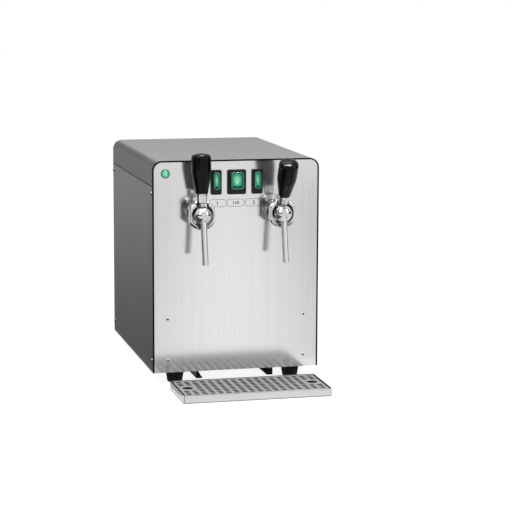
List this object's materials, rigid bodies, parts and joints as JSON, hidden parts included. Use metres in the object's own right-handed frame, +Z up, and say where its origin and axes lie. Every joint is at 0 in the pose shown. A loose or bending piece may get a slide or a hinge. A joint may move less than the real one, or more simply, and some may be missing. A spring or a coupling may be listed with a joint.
{
  "type": "hot drink dispenser",
  "caption": "Countertop hot drink dispenser: steel housing with a mirror-bright front, lever taps, lit rocker switches, heater, pumps and a separate drip tray.",
  "frame": {"origin": "middle of the bounding box on the table, under the feet and the drip pan", "axes": "+Z up, the front panel and its taps face -Y, +X to the right seen from the front"},
  "size_m": [0.304, 0.577, 0.4138],
  "materials": {
    "brushed_front": "vertical grain",
    "hood_steel": "satin grey",
    "side_steel": "satin grey",
    "trim_black": "semi gloss",
    "sheet_inner": "plain",
    "rail_black": "matt",
    "foot_rubber": "matt",
    "screw_steel": "plain",
    "switch_black": "semi gloss",
    "rocker_green": "lit from inside",
    "cap_clear": "clear soft plastic",
    "lamp_green": "lit from inside",
    "lamp_black": "semi gloss",
    "tap_chrome": "polished",
    "lever_steel": "polished",
    "grip_black": "high gloss",
    "plunger_steel": "plain",
    "tank_steel": "satin",
    "element_steel": "heat darkened",
    "thermostat_case": "matt",
    "pump_case": "satin",
    "hose_silicone": "translucent white",
    "brass_fitting": "nickel plated",
    "block_plastic": "matt",
    "loom_sleeve": "matt",
    "gland_plastic": "matt",
    "tray_steel": "satin",
    "grate_steel": "satin"
  },
  "bodies": {
    "housing": {"base_pan": "sheet_inner", "front_frame": "sheet_inner", "front_panel": "brushed_front", "front_trim": "trim_black", "top_cover": "hood_steel", "side_panel_left": "side_steel", "side_panel_right": "side_steel", "rear_panel": "side_steel", "rubber_feet": "foot_rubber", "foot_screws": "screw_steel", "base_rails": "rail_black", "front_screws": "screw_steel", "housing_screws": "screw_steel", "lamp_holder": "lamp_black", "lamp_lens": "lamp_green", "main_switch_frame": "switch_black", "main_switch_cap": "cap_clear", "pump_1_switch_frame": "switch_black", "pump_1_switch_cap": "cap_clear", "pump_2_switch_frame": "switch_black", "pump_2_switch_cap": "cap_clear", "tap_left_shank": "tap_chrome", "tap_left_body": "tap_chrome", "tap_left_ball": "tap_chrome", "tap_left_spout": "tap_chrome", "tap_right_shank": "tap_chrome", "tap_right_body": "tap_chrome", "tap_right_ball": "tap_chrome", "tap_right_spout": "tap_chrome", "tap_lock_nuts": "lever_steel", "tap_pivot_pins": "screw_steel", "heater_tank": "tank_steel", "heating_element": "element_steel", "thermostat": "thermostat_case", "pump_1": "pump_case", "pump_2": "pump_case", "inlet_hoses": "hose_silicone", "hot_hose_left": "hose_silicone", "hot_hose_right": "hose_silicone", "inlet_fittings": "brass_fitting", "terminal_block": "block_plastic", "wiring_loom": "loom_sleeve", "cable_gland": "gland_plastic"},
    "main_rocker": {"main_switch_rocker": "rocker_green"},
    "pump_1_rocker": {"pump_1_switch_rocker": "rocker_green"},
    "pump_2_rocker": {"pump_2_switch_rocker": "rocker_green"},
    "left_handle": {"tap_left_lever": "lever_steel", "tap_left_ferrule": "tap_chrome", "tap_left_grip": "grip_black"},
    "right_handle": {"tap_right_lever": "lever_steel", "tap_right_ferrule": "tap_chrome", "tap_right_grip": "grip_black"},
    "left_plunger": {"tap_left_plunger": "plunger_steel"},
    "right_plunger": {"tap_right_plunger": "plunger_steel"},
    "drip_tray": {"drip_pan": "tray_steel"},
    "drip_grate": {"drip_grate": "grate_steel"}
  },
  "joints": [
    {"name": "main_switch_rock", "type": "hinge", "parent": "housing", "child": "main_rocker", "pos_m": [0, -0.1375, 0.3606], "axis": [1, 0, 0], "range_deg": [0, 14]},
    {"name": "pump_1_switch_rock", "type": "hinge", "parent": "housing", "child": "pump_1_rocker", "pos_m": [-0.0368, -0.1375, 0.3606], "axis": [1, 0, 0], "range_deg": [0, 14]},
    {"name": "pump_2_switch_rock", "type": "hinge", "parent": "housing", "child": "pump_2_rocker", "pos_m": [0.0368, -0.1375, 0.3606], "axis": [1, 0, 0], "range_deg": [0, 14]},
    {"name": "tap_left_pull", "type": "hinge", "parent": "housing", "child": "left_handle", "pos_m": [-0.0715, -0.1855, 0.3145], "axis": [1, 0, 0], "range_deg": [0, 32]},
    {"name": "tap_right_pull", "type": "hinge", "parent": "housing", "child": "right_handle", "pos_m": [0.0715, -0.1855, 0.3145], "axis": [1, 0, 0], "range_deg": [-32, 0]},
    {"name": "tap_left_plunge", "type": "slide", "parent": "housing", "child": "left_plunger", "axis": [0, 1, 0], "range_m": [0, 0.00404]},
    {"name": "tap_right_plunge", "type": "slide", "parent": "housing", "child": "right_plunger", "axis": [0, 1, 0], "range_m": [-0.00404, 0]},
    {"name": "drip_tray_slide", "type": "slide", "parent": "housing", "child": "drip_tray", "axis": [0, -1, 0], "range_m": [0, 0.2]},
    {"name": "drip_grate_lift", "type": "slide", "parent": "drip_tray", "child": "drip_grate", "axis": [0, 0, 1], "range_m": [0, 0.06]}
  ],
  "couplings": [
    {"joint": "tap_left_plunge", "follows": "tap_left_pull", "m_per_rad": 0.0072411},
    {"joint": "tap_right_plunge", "follows": "tap_right_pull", "m_per_rad": 0.0072411}
  ]
}
